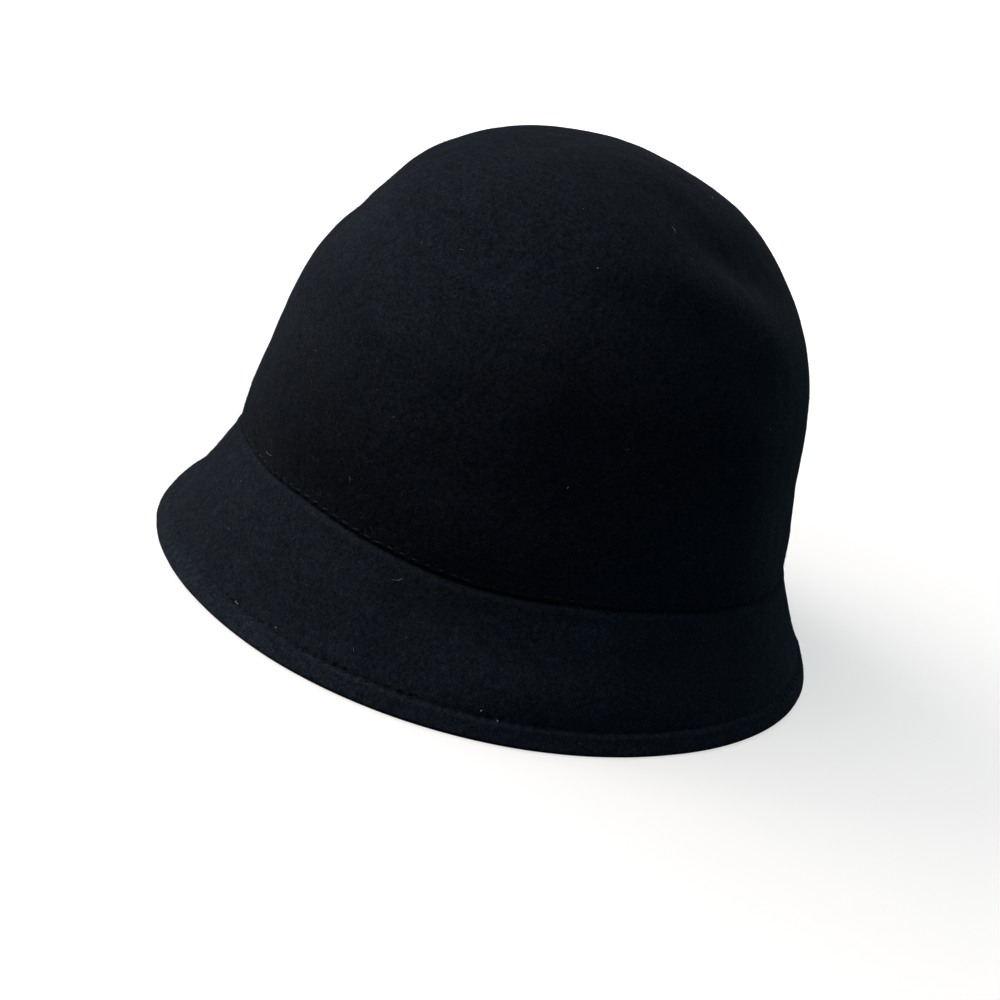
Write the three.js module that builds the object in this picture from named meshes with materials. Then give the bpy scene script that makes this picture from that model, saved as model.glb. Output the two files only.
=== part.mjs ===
import * as THREE from 'three';

// A cloche hat of wool felt: a deep plain crown sewn over the stand of a short flared brim.
// Lengths are millimetres and turns are degrees, counted from the front towards the wearer's left.
// The rim stands on z = 0, with the front at -Y, the wearer's left at +X and +Z up.

// Felt walls and the seam between the two pieces
const crownFelt = 2;
const crownEdgeFelt = 1.2;
const brimFelt = 2;
const standFelt = 1.5;
const seamGap = 0.3;
const lapDepth = 8;
const pressedRamp = 6;

// The oval that the head goes into, measured inside the brim's stand
const headLength = 194.4;
const headWidth = 169.2;
const ovalPower = 2.09;

// Heights: the seam above the surface, how much higher its front is than its middle, and the crown
const seamHeight = 40.4;
const seamRise = 3.2;
const crownHeight = 125;

// The brim's reach past the crown's lower edge at the front and back, and at each side
const frontReach = 19;
const sideReach = 22.4;

// The hem: the felt turned under along the rim and stitched down. Its cut edge slopes down to the brim.
const hemWidth = 8;
const hemThickness = 4.2;
const hemPuff = 0.5;
const stitchGroove = 0.45;
const rimRound = 1.6;
const rimLand = 1.8;
const turnedIn = 3.5;
const cutSlope = 2;

// How fine the meshes are
const stepsAround = 72;
const stepsUp = 14;

// The crown's sections, from its lower edge to its top. The height is a share of the crown's height,
// the girth a share of the lower edge's oval, and the lean to the front a share of the crown's height.
const crownSections = [
  { height: 0.00, girth: 1.000, lean: 0.000 },
  { height: 0.12, girth: 0.997, lean: 0.006 },
  { height: 0.25, girth: 0.967, lean: 0.011 },
  { height: 0.38, girth: 0.938, lean: 0.016 },
  { height: 0.50, girth: 0.899, lean: 0.020 },
  { height: 0.62, girth: 0.828, lean: 0.017 },
  { height: 0.73, girth: 0.741, lean: 0.014 },
  { height: 0.82, girth: 0.654, lean: 0.024 },
  { height: 0.90, girth: 0.520, lean: 0.035 },
  { height: 0.96, girth: 0.341, lean: 0.040 },
  { height: 1.00, girth: 0.000, lean: 0.040 },
];

// The dents push the felt towards a core inside the crown, at a share of its height, and fade out a little
// below the crown's top, where their turns would meet.
const coreHeight = 0.4;
const dentFade = 0.04;

// Soft dents and swellings left by handling. Turn and spread are degrees, height and rise are shares of
// the crown's height, and climb is how much higher the dent lies for each degree of turn, as such a share.
// Depth is a share of the head's width, less than nothing for a swelling.
const crownDents = [
  { name: 'upper hollow', turn: 112, height: 0.87, spread: 28, rise: 0.065, climb: -0.0015, depth: 0.017 },
  { name: 'ridge under it', turn: 100, height: 0.75, spread: 28, rise: 0.050, climb: -0.0035, depth: -0.007 },
  { name: 'hollow middle', turn: 106, height: 0.865, spread: 15, rise: 0.050, climb: -0.0035, depth: 0.008 },
  { name: 'ridge crest', turn: 104, height: 0.69, spread: 20, rise: 0.050, climb: -0.0045, depth: -0.0045 },
  { name: 'lower hollow', turn: 134, height: 0.20, spread: 16, rise: 0.130, climb: 0, depth: 0.010 },
  { name: 'back flare', turn: 134, height: 0, spread: 15, rise: 0.070, climb: 0, depth: -0.008 },
  { name: 'front flare', turn: -42, height: 0, spread: 15, rise: 0.070, climb: 0, depth: -0.009 },
  { name: 'front shoulder', turn: -26, height: 0.60, spread: 20, rise: 0.060, climb: 0, depth: -0.002 },
  { name: 'shoulder flat', turn: -28, height: 0.78, spread: 30, rise: 0.080, climb: 0, depth: 0.001 },
  { name: 'shoulder fold', turn: -30, height: 0.645, spread: 14, rise: 0.026, climb: 0, depth: 0.006 },
];

// Where the seam wanders up or down from its plane: turn and spread are degrees, and rise is a share of
// the seam's height.
const seamWaves = [
  { turn: -46, spread: 14, rise: -0.045 },
  { turn: 10, spread: 9, rise: 0.032 },
  { turn: 47, spread: 11, rise: -0.028 },
  { turn: 84, spread: 13, rise: 0.018 },
  { turn: 124, spread: 11, rise: -0.036 },
  { turn: 235, spread: 24, rise: 0.020 },
];

// The brim's outer face, from the seam to its stitch line, as shares of that length, and how far the
// felt bows out there, as a share of the same length.
const brimSections = [
  { along: 0.00, bow: 0.000 },
  { along: 0.15, bow: -0.012 },
  { along: 0.40, bow: -0.020 },
  { along: 0.65, bow: -0.016 },
  { along: 0.88, bow: -0.004 },
];

// The hem's outside past its stitch line: the way down as a share of its width, and how far the padded
// felt stands out as a share of its puff
const hemSections = [
  { along: 0.25, puff: 0.6 },
  { along: 0.55, puff: 1.0 },
  { along: 0.80, puff: 0.4 },
];

// The crown's lower edge laps over the stand, so its size follows the head's through both walls.
const edgeWall = standFelt + seamGap + crownEdgeFelt;
const edgeHalfLength = headLength / 2 + edgeWall;
const edgeHalfWidth = headWidth / 2 + edgeWall;
const rimHalfLength = edgeHalfLength + frontReach;
const rimHalfWidth = edgeHalfWidth + sideReach;

// A point of an oval that is a little squarer than an ellipse
function ovalPoint(turn, halfLength, halfWidth) {
  const angle = THREE.MathUtils.degToRad(turn);
  const squared = (value) => Math.sign(value) * Math.abs(value) ** (2 / ovalPower);
  return new THREE.Vector3(halfWidth * squared(Math.sin(angle)), -halfLength * squared(Math.cos(angle)), 0);
}

// How far a turn is from another, the short way round
function turnFrom(turn, other) {
  return THREE.MathUtils.euclideanModulo(turn - other + 180, 360) - 180;
}

// The height of the crown's lower edge at one turn, counted from the seam's height at the middle
function seamRiseAt(turn, edge) {
  const slope = -seamRise * edge.y / edgeHalfLength;
  return seamWaves.reduce((rise, wave) => {
    const across = turnFrom(turn, wave.turn) / wave.spread;
    return rise + wave.rise * seamHeight * Math.exp(-0.5 * across * across);
  }, slope);
}

// A column of a table, read between its rows along a smooth curve
function readColumn(rows, column, height, power = 1) {
  const value = (i) => rows[i][column] ** power;
  const slope = (i) => {
    const before = Math.max(i - 1, 0);
    const after = Math.min(i + 1, rows.length - 1);
    return (value(after) - value(before)) / (rows[after].height - rows[before].height);
  };
  const last = rows.length - 2;
  const found = rows.findIndex((row) => row.height > height) - 1;
  const i = found < 0 ? last : Math.min(found, last);
  const width = rows[i + 1].height - rows[i].height;
  const t = (height - rows[i].height) / width;
  const ahead = t * t * (3 - 2 * t);
  return value(i) * (1 - ahead) + value(i + 1) * ahead
    + width * (slope(i) * t * (1 - t) ** 2 - slope(i + 1) * t * t * (1 - t));
}

// The girth is read as a square, which keeps the crown's top round.
function girthAt(height) {
  return Math.sqrt(Math.max(readColumn(crownSections, 'girth', height, 2), 0));
}

// How far the felt is pushed in at a place on the crown, towards the crown's core
function dentDepth(turn, height) {
  const fade = THREE.MathUtils.smoothstep(1 - height, 0, dentFade);
  return fade * crownDents.reduce((depth, dent) => {
    const away = turnFrom(turn, dent.turn);
    const across = away / dent.spread;
    const up = (height - dent.height - dent.climb * away) / dent.rise;
    return depth + dent.depth * headWidth * Math.exp(-0.5 * (across * across + up * up));
  }, 0);
}

// The crown's outside. Its lower edge is the seam, which is higher at the front.
function crownOutside(turn, height) {
  const edge = ovalPoint(turn, edgeHalfLength, edgeHalfWidth);
  edge.z = seamRiseAt(turn, edge);
  const point = edge.multiplyScalar(girthAt(height));
  point.y -= crownHeight * readColumn(crownSections, 'lean', height);
  point.z += seamHeight + crownHeight * height;
  const core = new THREE.Vector3(0, 0, seamHeight + crownHeight * coreHeight);
  const inwards = core.sub(point).normalize();
  return point.addScaledVector(inwards, dentDepth(turn, height));
}

// The outward direction square to the crown's outside
function crownNormal(turn, height) {
  const turnStep = 0.5;
  const heightStep = 0.002;
  const low = Math.max(height - heightStep, 0);
  const high = Math.min(height + heightStep, 1 - heightStep);
  if (height > high) {
    return new THREE.Vector3(0, 0, 1);
  }
  const across = crownOutside(turn + turnStep, height).sub(crownOutside(turn - turnStep, height));
  const up = crownOutside(turn, high).sub(crownOutside(turn, low));
  return across.cross(up).normalize();
}

// The crown's felt is pressed thin where it laps over the stand.
function crownFeltAt(height) {
  const above = crownHeight * height - lapDepth;
  return crownEdgeFelt + (crownFelt - crownEdgeFelt) * THREE.MathUtils.smoothstep(above, 0, pressedRamp);
}

// A place at a given depth under the crown's outside
function underCrown(turn, height, depth) {
  return crownOutside(turn, height).addScaledVector(crownNormal(turn, height), -depth);
}

// The straight face of the brim at one turn: where it starts, its direction and length down to the rim's
// outer corner, and the outward direction square to it
function brimFace(turn) {
  const turnStep = 1;
  const slant = (at) => {
    const start = crownOutside(at, 0);
    const corner = ovalPoint(at, rimHalfLength, rimHalfWidth);
    return { start, way: corner.sub(start) };
  };
  const here = slant(turn);
  const length = here.way.length();
  const along = here.way.clone().normalize();
  const middleOf = ({ start, way }) => start.clone().addScaledVector(way, 0.5);
  const across = middleOf(slant(turn + turnStep)).sub(middleOf(slant(turn - turnStep)));
  const outwards = along.clone().cross(across).normalize();
  return { start: here.start, along, length, outwards };
}

// A point of the brim's section: a distance down its outer face and a distance out of it
function brimPoint(face, down, out) {
  return face.start.clone().addScaledVector(face.along, down).addScaledVector(face.outwards, out);
}

// The part of a face point that lies on the surface the hat stands on, a level distance in from the rim
function landPoint(face, inwards) {
  const corner = brimPoint(face, face.length, 0);
  const level = new THREE.Vector3(face.outwards.x, face.outwards.y, 0).normalize();
  corner.addScaledVector(level, -inwards);
  corner.z = 0;
  return corner;
}

// A closed mesh from rings of points. Each ring runs round the hat, and a ring of one point is a pole.
function meshFromRings(rings, isLoop) {
  const positions = [];
  const firstOf = rings.map((ring) => {
    const first = positions.length / 3;
    ring.forEach((point) => positions.push(point.x, point.y, point.z));
    return first;
  });
  const faces = [];
  const pairs = isLoop ? rings.length : rings.length - 1;
  for (let i = 0; i < pairs; i += 1) {
    const next = (i + 1) % rings.length;
    for (let j = 0; j < stepsAround; j += 1) {
      const at = (ring, step) => firstOf[ring] + (rings[ring].length === 1 ? 0 : step % stepsAround);
      if (rings[next].length > 1) {
        faces.push(at(i, j), at(next, j), at(next, j + 1));
      }
      if (rings[i].length > 1) {
        faces.push(at(i, j), at(next, j + 1), at(i, j + 1));
      }
    }
  }
  const geometry = new THREE.BufferGeometry();
  geometry.setAttribute('position', new THREE.Float32BufferAttribute(positions, 3));
  geometry.setIndex(faces);
  geometry.computeVertexNormals();
  return geometry;
}

// One ring for each place of a section, with a point of it at every turn
function ringOf(pointAt) {
  return Array.from({ length: stepsAround }, (_, step) => pointAt(step * 360 / stepsAround));
}

// The heights of the crown's rings: its pressed edge first, then closer together towards the top
function crownHeights() {
  const pressed = [0, lapDepth, lapDepth + pressedRamp].map((height) => height / crownHeight);
  const start = pressed[2];
  const rest = Array.from({ length: stepsUp - 1 }, (_, i) => {
    const share = Math.sin((i + 1) / stepsUp * Math.PI / 2);
    return start + (1 - start) * share;
  });
  return [...pressed, ...rest];
}

// The crown: a felt dome, open below, with an inside that follows its outside
function makeCrown() {
  const heights = crownHeights();
  const outside = heights.map((height) => ringOf((turn) => crownOutside(turn, height)));
  const inside = heights.map((height) => ringOf((turn) => underCrown(turn, height, crownFeltAt(height))));
  const top = [crownOutside(0, 1)];
  const topInside = [underCrown(0, 1, crownFelt)];
  return meshFromRings([top, ...outside.reverse(), ...inside, topInside], false);
}

// The stand: the upright edge of the brim that lies inside the crown, held clear of it by the seam's gap
function standRings(layer) {
  const depth = crownEdgeFelt + seamGap + layer;
  return [lapDepth, lapDepth / 2, 0].map((height) => (
    ringOf((turn) => underCrown(turn, height / crownHeight, depth))
  ));
}

// The brim: its stand, its flared face and the hem turned under along its rim
function makeBrim() {
  const faces = new Map(ringOf((turn) => turn).map((turn) => [turn, brimFace(turn)]));
  const ring = (place) => ringOf((turn) => place(faces.get(turn)));
  const stitchLine = (face) => face.length - hemWidth;
  const shoulder = 2 * seamGap;
  const outer = [
    ring((face) => brimPoint(face, shoulder, -crownEdgeFelt)),
    ...brimSections.map(({ along, bow }) => ring((face) => {
      const down = THREE.MathUtils.lerp(shoulder + crownEdgeFelt, stitchLine(face), along);
      return brimPoint(face, down, bow * face.length);
    })),
    ring((face) => brimPoint(face, stitchLine(face), -stitchGroove)),
    ...hemSections.map(({ along, puff }) => (
      ring((face) => brimPoint(face, stitchLine(face) + hemWidth * along, hemPuff * puff))
    )),
    ring((face) => landPoint(face, rimRound)),
    ring((face) => landPoint(face, rimRound + rimLand)),
    ring((face) => brimPoint(face, face.length - turnedIn, -hemThickness)),
    ring((face) => brimPoint(face, stitchLine(face), -hemThickness)),
    ring((face) => brimPoint(face, stitchLine(face) - cutSlope, -brimFelt)),
  ];
  const inner = [...brimSections].reverse().map(({ along, bow }) => ring((face) => {
    const down = THREE.MathUtils.lerp(shoulder + crownEdgeFelt, stitchLine(face) - cutSlope, along);
    return brimPoint(face, down, bow * face.length - brimFelt);
  }));
  const rings = [...standRings(0), ...outer, ...inner, ...standRings(standFelt).reverse()];
  return meshFromRings(rings, true);
}

// Blue-black felt, a little lighter on the brim where its nap lies towards the light
const crownColour = 0x0a0d12;
const brimColour = 0x0c1015;

function felt(colour) {
  return new THREE.MeshStandardMaterial({ color: colour, roughness: 0.95, metalness: 0 });
}

const hat = new THREE.Group();

const crown = new THREE.Mesh(makeCrown(), felt(crownColour));
crown.name = 'crown';
hat.add(crown);

const brim = new THREE.Mesh(makeBrim(), felt(brimColour));
brim.name = 'brim';
hat.add(brim);

export default hat;
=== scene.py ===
# A cloche hat of blue-black wool felt: a deep plain crown sewn over the stand of a short flared brim.
# Metres. The rim stands on z = 0, the front is at -Y, the wearer's left at +X and +Z is up. Turns are
# degrees, counted from the front towards the wearer's left.
import math
import random

import bpy
import numpy as np
from mathutils import Matrix, Vector


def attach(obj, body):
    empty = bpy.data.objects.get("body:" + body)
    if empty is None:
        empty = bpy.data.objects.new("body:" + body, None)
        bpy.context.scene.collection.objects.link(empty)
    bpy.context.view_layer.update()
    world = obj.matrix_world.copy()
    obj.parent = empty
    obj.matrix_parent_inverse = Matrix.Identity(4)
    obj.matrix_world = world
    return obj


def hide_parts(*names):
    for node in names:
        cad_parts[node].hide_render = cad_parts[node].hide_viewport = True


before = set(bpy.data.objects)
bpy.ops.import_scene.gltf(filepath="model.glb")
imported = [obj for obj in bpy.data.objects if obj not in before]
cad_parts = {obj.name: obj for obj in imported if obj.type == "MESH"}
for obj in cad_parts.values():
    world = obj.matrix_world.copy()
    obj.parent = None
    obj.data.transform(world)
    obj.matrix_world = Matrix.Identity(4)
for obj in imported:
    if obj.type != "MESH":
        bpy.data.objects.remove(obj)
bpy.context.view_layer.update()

MM = 0.001

# Felt walls and the seam between the two pieces
CROWN_FELT = 2.0 * MM
CROWN_EDGE_FELT = 1.2 * MM
BRIM_FELT = 2.0 * MM
STAND_FELT = 1.5 * MM
SEAM_GAP = 0.3 * MM
LAP_DEPTH = 8.0 * MM
PRESSED_RAMP = 6.0 * MM
CUT_ROUND = 0.45 * MM

# The oval that the head goes into, and the heights and reaches round it
HEAD_LENGTH = 194.4 * MM
HEAD_WIDTH = 169.2 * MM
OVAL_POWER = 2.09
SEAM_HEIGHT = 40.4 * MM
SEAM_RISE = 3.2 * MM
CROWN_HEIGHT = 125.0 * MM
FRONT_REACH = 19.0 * MM
SIDE_REACH = 22.4 * MM

# The hem
HEM_WIDTH = 8.0 * MM
HEM_THICKNESS = 4.2 * MM
HEM_FOLD = 1.1 * MM
HEM_TUCK = 0.4 * MM
HEM_UNDERSIDE = 0.2 * MM - HEM_THICKNESS

# How far the padded hem stands out, between which distances past its stitches it rises, and the share of
# that height that it loses towards the rim
HEM_PUFF = 0.95 * MM
PUFF_START = -0.2 * MM
PUFF_END = 1.9 * MM
PUFF_LOSS = 0.10

# Painted light and shade in the felt's colour: how light it is on the crown's lower edge, where it is
# painted in shade next to the brim, higher up on the crown, and on the brim, and the shares of the crown's
# height between which it gets lighter
EDGE_LIGHTNESS = 0.84
CROWN_LIGHTNESS = 1.04
BRIM_LIGHTNESS = 1.2
LIGHTER_FROM = 0.10
LIGHTER_TO = 0.45

# A painted highlight along the brim's rim, where the hem catches the light: how much lighter it is all
# round and most at one turn, and the shares of the way from the hat's middle to the rim between which it
# sets in
RIM_PAINTED_LIGHT = 0.10
MOST_PAINTED_LIGHT = 0.30
BRIGHTEST_TURN = 0
BRIGHTEST_SPREAD = 30
RIM_LIGHT_FROM = 0.965
RIM_LIGHT_TO = 0.995

# Patches of painted light and shade, partly the nap's own tone: turn, share of the way up the crown or down
# the brim, spread in degrees and as a share, and how much lighter
CROWN_TONES = [
    (38, 0.755, 12, 0.06, 0.30),
    (51, 0.53, 10, 0.08, -0.30),
    (12, 0.22, 12, 0.10, -0.26),
    (80, 0.07, 20, 0.06, 0.75),
    (92, 0.22, 14, 0.10, 0.40),
    (99, 0.71, 11, 0.05, 0.30),
    (118, 0.55, 7, 0.12, 0.35),
    (124, 0.15, 8, 0.12, 0.60),
    (-26, 0.42, 9, 0.09, 0.35),
    (-24, 0.70, 9, 0.08, 0.25),
    (-22, 0.18, 7, 0.07, 0.25),
]
BRIM_TONES = [
    (46, 0.72, 11, 0.07, 0.45),
    (60, 0.56, 10, 0.12, 0.35),
    (84, 0.10, 18, 0.12, 0.45),
    (66, 0.12, 8, 0.10, 0.30),
    (86, 0.78, 22, 0.09, 0.50),
    (2, 0.60, 13, 0.10, -0.14),
    (5, 0.93, 13, 0.06, 0.14),
]

# How far down the brim's face its bend out from under the crown reaches
BEND_LENGTH = 3.4 * MM

# The seam's row of stitches: its thread, the length from stitch to stitch, its height over the crown's
# edge, how deep the felt takes the thread, and where it lies loosest and how much higher there
SEAM_THREAD = 0.74 * MM
SEAM_PITCH = 4.3 * MM
SEAM_INSET = 1.15 * MM
SEAM_SINK = 0.50 * MM
SEAM_LOOSE_TURN = 16
SEAM_LOOSE_SPREAD = 15
SEAM_LOOSE_RISE = 0.44 * MM

# What the seam does to the crown's edge: how far the thread draws it in, and more where it is loose, and
# how far up that is felt
EDGE_DRAWN = 0.06 * MM
EDGE_DRAWN_LOOSE = 0.24 * MM
DRAWN_REACH = 5 * MM

# The groove and the needle holes along the seam's row and the puff under it: how deep or high they are and
# how wide, and how far up they reach
SEAM_GROOVE = 0.10 * MM
SEAM_GROOVE_WIDTH = 0.9 * MM
SEAM_HOLE = 0.55 * MM
SEAM_HOLE_WIDTH = 0.55 * MM
SEAM_HOLE_HEIGHT = 0.8 * SEAM_INSET
EDGE_PUFF = 0.14 * MM
EDGE_PUFF_WIDTH = 0.7 * MM
SEAM_REACH = 9 * MM

# The hem's row of stitches, in the same way, and where its thread is pulled tightest
HEM_THREAD = 0.48 * MM
HEM_PITCH = 3.7 * MM
HEM_SINK = 0.52 * MM
HEM_LOOSE_TURN = 8
HEM_LOOSE_SPREAD = 11
HEM_LOOSE_RISE = 0.22 * MM
HEM_TIGHT_TURN = 33
HEM_TIGHT_SPREAD = 13

# The groove and the needle holes along the hem's row, which are deeper where the thread is tight, how much
# the stitches pinch the padded hem, and the distances past them between which that fades
HEM_GROOVE = 0.24 * MM
HEM_GROOVE_WIDTH = 0.62 * MM
HEM_HOLE = 0.50 * MM
HEM_TIGHT_HOLE = 0.45 * MM
HEM_HOLE_WIDTH = 0.48 * MM
HEM_PINCH = 0.13
PINCH_FROM = 2 * MM
PINCH_TO = 5 * MM

# How deep the felt takes the thread of the rows inside, how much of its pitch a stitch covers, how high its
# middle stands and how deep its ends dive, as shares of the thread, and the seed of the first row
INSIDE_SINK = 0.02 * MM
STITCH_SHARE = 0.66
STITCH_RISE = 0.25
STITCH_DIVE = 1.7
STITCH_SEED = 11

# Small unevenness of the felt: how high, how wide and the seed of each kind
CROWN_RIPPLES = [(0.20 * MM, 38 * MM, 3), (0.06 * MM, 9 * MM, 4)]
EDGE_RIPPLES = [(0.16 * MM, 7 * MM, 15)]
BRIM_RIPPLES = [(0.16 * MM, 34 * MM, 5), (0.05 * MM, 8 * MM, 6)]
INSIDE_RIPPLES = [(0.12 * MM, 30 * MM, 7)]

# Loose fibres all over the outside: how many, how long, how thick and how far off the felt they are, and
# their seed
NAP = (7600, 1.4 * MM, 0.07 * MM, 0.20 * MM, 21)
LOOSE_LINT = (12, 1.5 * MM, 0.055 * MM, 0.3 * MM, 22)
DUST = (60, 0.6 * MM, 0.09 * MM, 0.2 * MM, 23)

# The share of them that lie on the brim, and how far off the felt the lint below is
BRIM_SHARE = 0.30
LINT_LIFT = 0.35 * MM

# Lint that shows at the front: on the crown or the brim, turn, share of the way up the crown or down the
# brim, length, thickness, way in degrees from level, and curl
LINT = [
    ("brim", 34.5, 0.141, 4.4 * MM, 0.09 * MM, 25, 0.8),
    ("brim", 55.5, 0.789, 0.5 * MM, 0.42 * MM, 60, 0),
    ("brim", 58.5, 0.834, 0.6 * MM, 0.42 * MM, 80, 0),
    ("brim", 7.5, 0.819, 1.8 * MM, 0.16 * MM, -10, 0.4),
    ("brim", 17.0, 0.799, 0.5 * MM, 0.36 * MM, 70, 0),
    ("crown", 55.5, 0.805, 0.7 * MM, 0.22 * MM, 40, 0.6),
    ("crown", 85.0, 0.913, 2.4 * MM, 0.10 * MM, 75, 0.3),
    ("crown", 61.5, 0.302, 0.6 * MM, 0.18 * MM, 60, 0),
    ("crown", -5.0, 0.040, 5.5 * MM, 0.06 * MM, 8, 0.35),
]

EDGE_WALL = STAND_FELT + SEAM_GAP + CROWN_EDGE_FELT
EDGE_HALF_LENGTH = HEAD_LENGTH / 2 + EDGE_WALL
EDGE_HALF_WIDTH = HEAD_WIDTH / 2 + EDGE_WALL
RIM_HALF_LENGTH = EDGE_HALF_LENGTH + FRONT_REACH
RIM_HALF_WIDTH = EDGE_HALF_WIDTH + SIDE_REACH

# The crown's sections: height as a share of its height, girth as a share of its lower edge's oval, and
# lean to the front as a share of its height
CROWN_SECTIONS = {
    "height": [0, 0.12, 0.25, 0.38, 0.50, 0.62, 0.73, 0.82, 0.90, 0.96, 1],
    "girth": [1, 0.997, 0.967, 0.938, 0.899, 0.828, 0.741, 0.654, 0.520, 0.341, 0],
    "lean": [0, 0.006, 0.011, 0.016, 0.020, 0.017, 0.014, 0.024, 0.035, 0.040, 0.040],
}

# The dents push the felt towards a core at a share of the crown's height, and fade out below its top.
CORE_HEIGHT = 0.4
DENT_FADE = 0.04

# Soft dents and swellings of the crown: turn, height share, spread in degrees, rise as a height share,
# climb as a height share for each degree, and depth as a share of the head's width
CROWN_DENTS = [
    (112, 0.87, 28, 0.065, -0.0015, 0.017),
    (100, 0.75, 28, 0.050, -0.0035, -0.007),
    (106, 0.865, 15, 0.050, -0.0035, 0.008),
    (104, 0.69, 20, 0.050, -0.0045, -0.0045),
    (134, 0.20, 16, 0.130, 0, 0.010),
    (134, 0, 15, 0.070, 0, -0.008),
    (-42, 0, 15, 0.070, 0, -0.009),
    (-26, 0.60, 20, 0.060, 0, -0.002),
    (-28, 0.78, 30, 0.080, 0, 0.001),
    (-30, 0.645, 14, 0.026, 0, 0.006),
]

# Where the seam wanders from its plane: turn, spread in degrees, and rise as a share of its height
SEAM_WAVES = [
    (-46, 14, -0.045),
    (10, 9, 0.032),
    (47, 11, -0.028),
    (84, 13, 0.018),
    (124, 11, -0.036),
    (235, 24, 0.020),
]

# How far the brim's face bows out: the share of the way from the seam to the stitch line, and the bow as a
# share of the face's length
BRIM_BOW = {
    "height": [0, 0.15, 0.40, 0.65, 0.88, 1],
    "bow": [0, -0.012, -0.020, -0.016, -0.004, 0],
}

# Soft swellings and hollows of the brim's face: turn, share of the way down, spread in degrees and as a
# share, and how far the felt stands out. They fade in over a share of the way below the seam.
SWELL_FADE = 0.15
BRIM_SWELLS = [
    (60, 0.72, 23, 0.18, 1.8 * MM),
    (0, 0.78, 34, 0.16, -1.1 * MM),
    (76, 1.03, 30, 0.12, -1.5 * MM),
]

# How many points a ring has: most round the stitches and fewest where the felt is plain
FINE = 1440
MIDDLE = 720
COARSE = 360

# How many sides stitches and fibres have, and how many points along them
STITCH_SIDES = 7
STITCH_POINTS = 9
NAP_SIDES = 3
LINT_SIDES = 6
LINT_POINTS = 9
FIBRE_POINTS = 5


def turns(count):
    return np.arange(count) * 360.0 / count


def oval(turn, half_length, half_width):
    """Points of an oval that is a little squarer than an ellipse."""
    angle = np.radians(turn)

    def squared(value):
        return np.sign(value) * np.abs(value) ** (2 / OVAL_POWER)

    return half_width * squared(np.sin(angle)), -half_length * squared(np.cos(angle))


def turn_from(turn, other):
    """How far a turn is from another, the short way round."""
    return (turn - other + 180) % 360 - 180


def read_column(table, column, height, power=1):
    """A column of a table, read between its rows along a smooth curve."""
    at = np.array(table["height"], float)
    value = np.array(table[column], float) ** power
    before = np.maximum(np.arange(len(at)) - 1, 0)
    after = np.minimum(np.arange(len(at)) + 1, len(at) - 1)
    slope = (value[after] - value[before]) / (at[after] - at[before])
    i = np.clip(np.searchsorted(at, height, side="right") - 1, 0, len(at) - 2)
    width = at[i + 1] - at[i]
    t = (height - at[i]) / width
    ahead = t * t * (3 - 2 * t)
    bend = slope[i] * t * (1 - t) ** 2 - slope[i + 1] * t * t * (1 - t)
    return value[i] * (1 - ahead) + value[i + 1] * ahead + width * bend


def smoothstep(value, low, high):
    t = np.clip((value - low) / (high - low), 0, 1)
    return t * t * (3 - 2 * t)


def dent_depth(turn, height):
    """How far the felt is pushed in at a place on the crown."""
    depth = 0
    for at, middle, spread, rise, climb, deep in CROWN_DENTS:
        away = turn_from(turn, at)
        up = (height - middle - climb * away) / rise
        depth = depth + deep * HEAD_WIDTH * np.exp(-0.5 * ((away / spread) ** 2 + up ** 2))
    return depth * smoothstep(1 - height, 0, DENT_FADE)


def crown_outside(turn, height):
    """Points of the crown's outside at turns and height shares."""
    turn, height = np.broadcast_arrays(np.asarray(turn, float), np.asarray(height, float))
    x, y = oval(turn, EDGE_HALF_LENGTH, EDGE_HALF_WIDTH)
    z = -SEAM_RISE * y / EDGE_HALF_LENGTH
    for at, spread, rise in SEAM_WAVES:
        z = z + rise * SEAM_HEIGHT * np.exp(-0.5 * (turn_from(turn, at) / spread) ** 2)
    girth = np.sqrt(np.maximum(read_column(CROWN_SECTIONS, "girth", height, 2), 0))
    lean = CROWN_HEIGHT * read_column(CROWN_SECTIONS, "lean", height)
    up = SEAM_HEIGHT + CROWN_HEIGHT * height
    point = np.stack([x * girth, y * girth - lean, z * girth + up], -1)
    inwards = np.array([0, 0, SEAM_HEIGHT + CORE_HEIGHT * CROWN_HEIGHT]) - point
    inwards /= np.linalg.norm(inwards, axis=-1, keepdims=True)
    return point + inwards * dent_depth(turn, height)[..., None]


def unit(v):
    return v / np.maximum(np.linalg.norm(v, axis=-1, keepdims=True), 1e-12)


def crown_normal(turn, height):
    """The outward direction square to the crown's outside."""
    turn, height = np.broadcast_arrays(np.asarray(turn, float), np.asarray(height, float))

    # A small step up, which stays below the pole
    low = np.clip(height - 0.002, 0, 0.996)
    high = np.minimum(height + 0.002, 0.998)
    middle = (low + high) / 2
    across = crown_outside(turn + 0.5, middle) - crown_outside(turn - 0.5, middle)
    up = crown_outside(turn, high) - crown_outside(turn, low)
    return unit(np.cross(across, up))


def under_crown(turn, height, depth):
    """Points at a depth under the crown's outside."""
    turn, height, depth = np.broadcast_arrays(*(np.asarray(v, float) for v in (turn, height, depth)))
    return crown_outside(turn, height) - crown_normal(turn, height) * depth[..., None]


class BrimFace:
    """The brim's straight face at each turn: its start, its way down to the rim and its outward side."""

    def __init__(self, turn):
        self.turn = turn
        start, way = self.slant(turn)
        self.length = np.linalg.norm(way, axis=-1)
        self.start = start
        self.along = unit(way)
        before, after = self.slant(turn - 1), self.slant(turn + 1)
        across = after[0] + after[1] / 2 - before[0] - before[1] / 2
        self.outwards = unit(np.cross(self.along, across))

    def slant(self, turn):
        start = crown_outside(turn, 0)
        x, y = oval(turn, RIM_HALF_LENGTH, RIM_HALF_WIDTH)
        return start, np.stack([x, y, 0 * x], -1) - start

    def point(self, down, out):
        down, out = (np.broadcast_to(v, self.length.shape) for v in (down, out))
        return self.start + self.along * down[:, None] + self.outwards * out[:, None]


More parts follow.
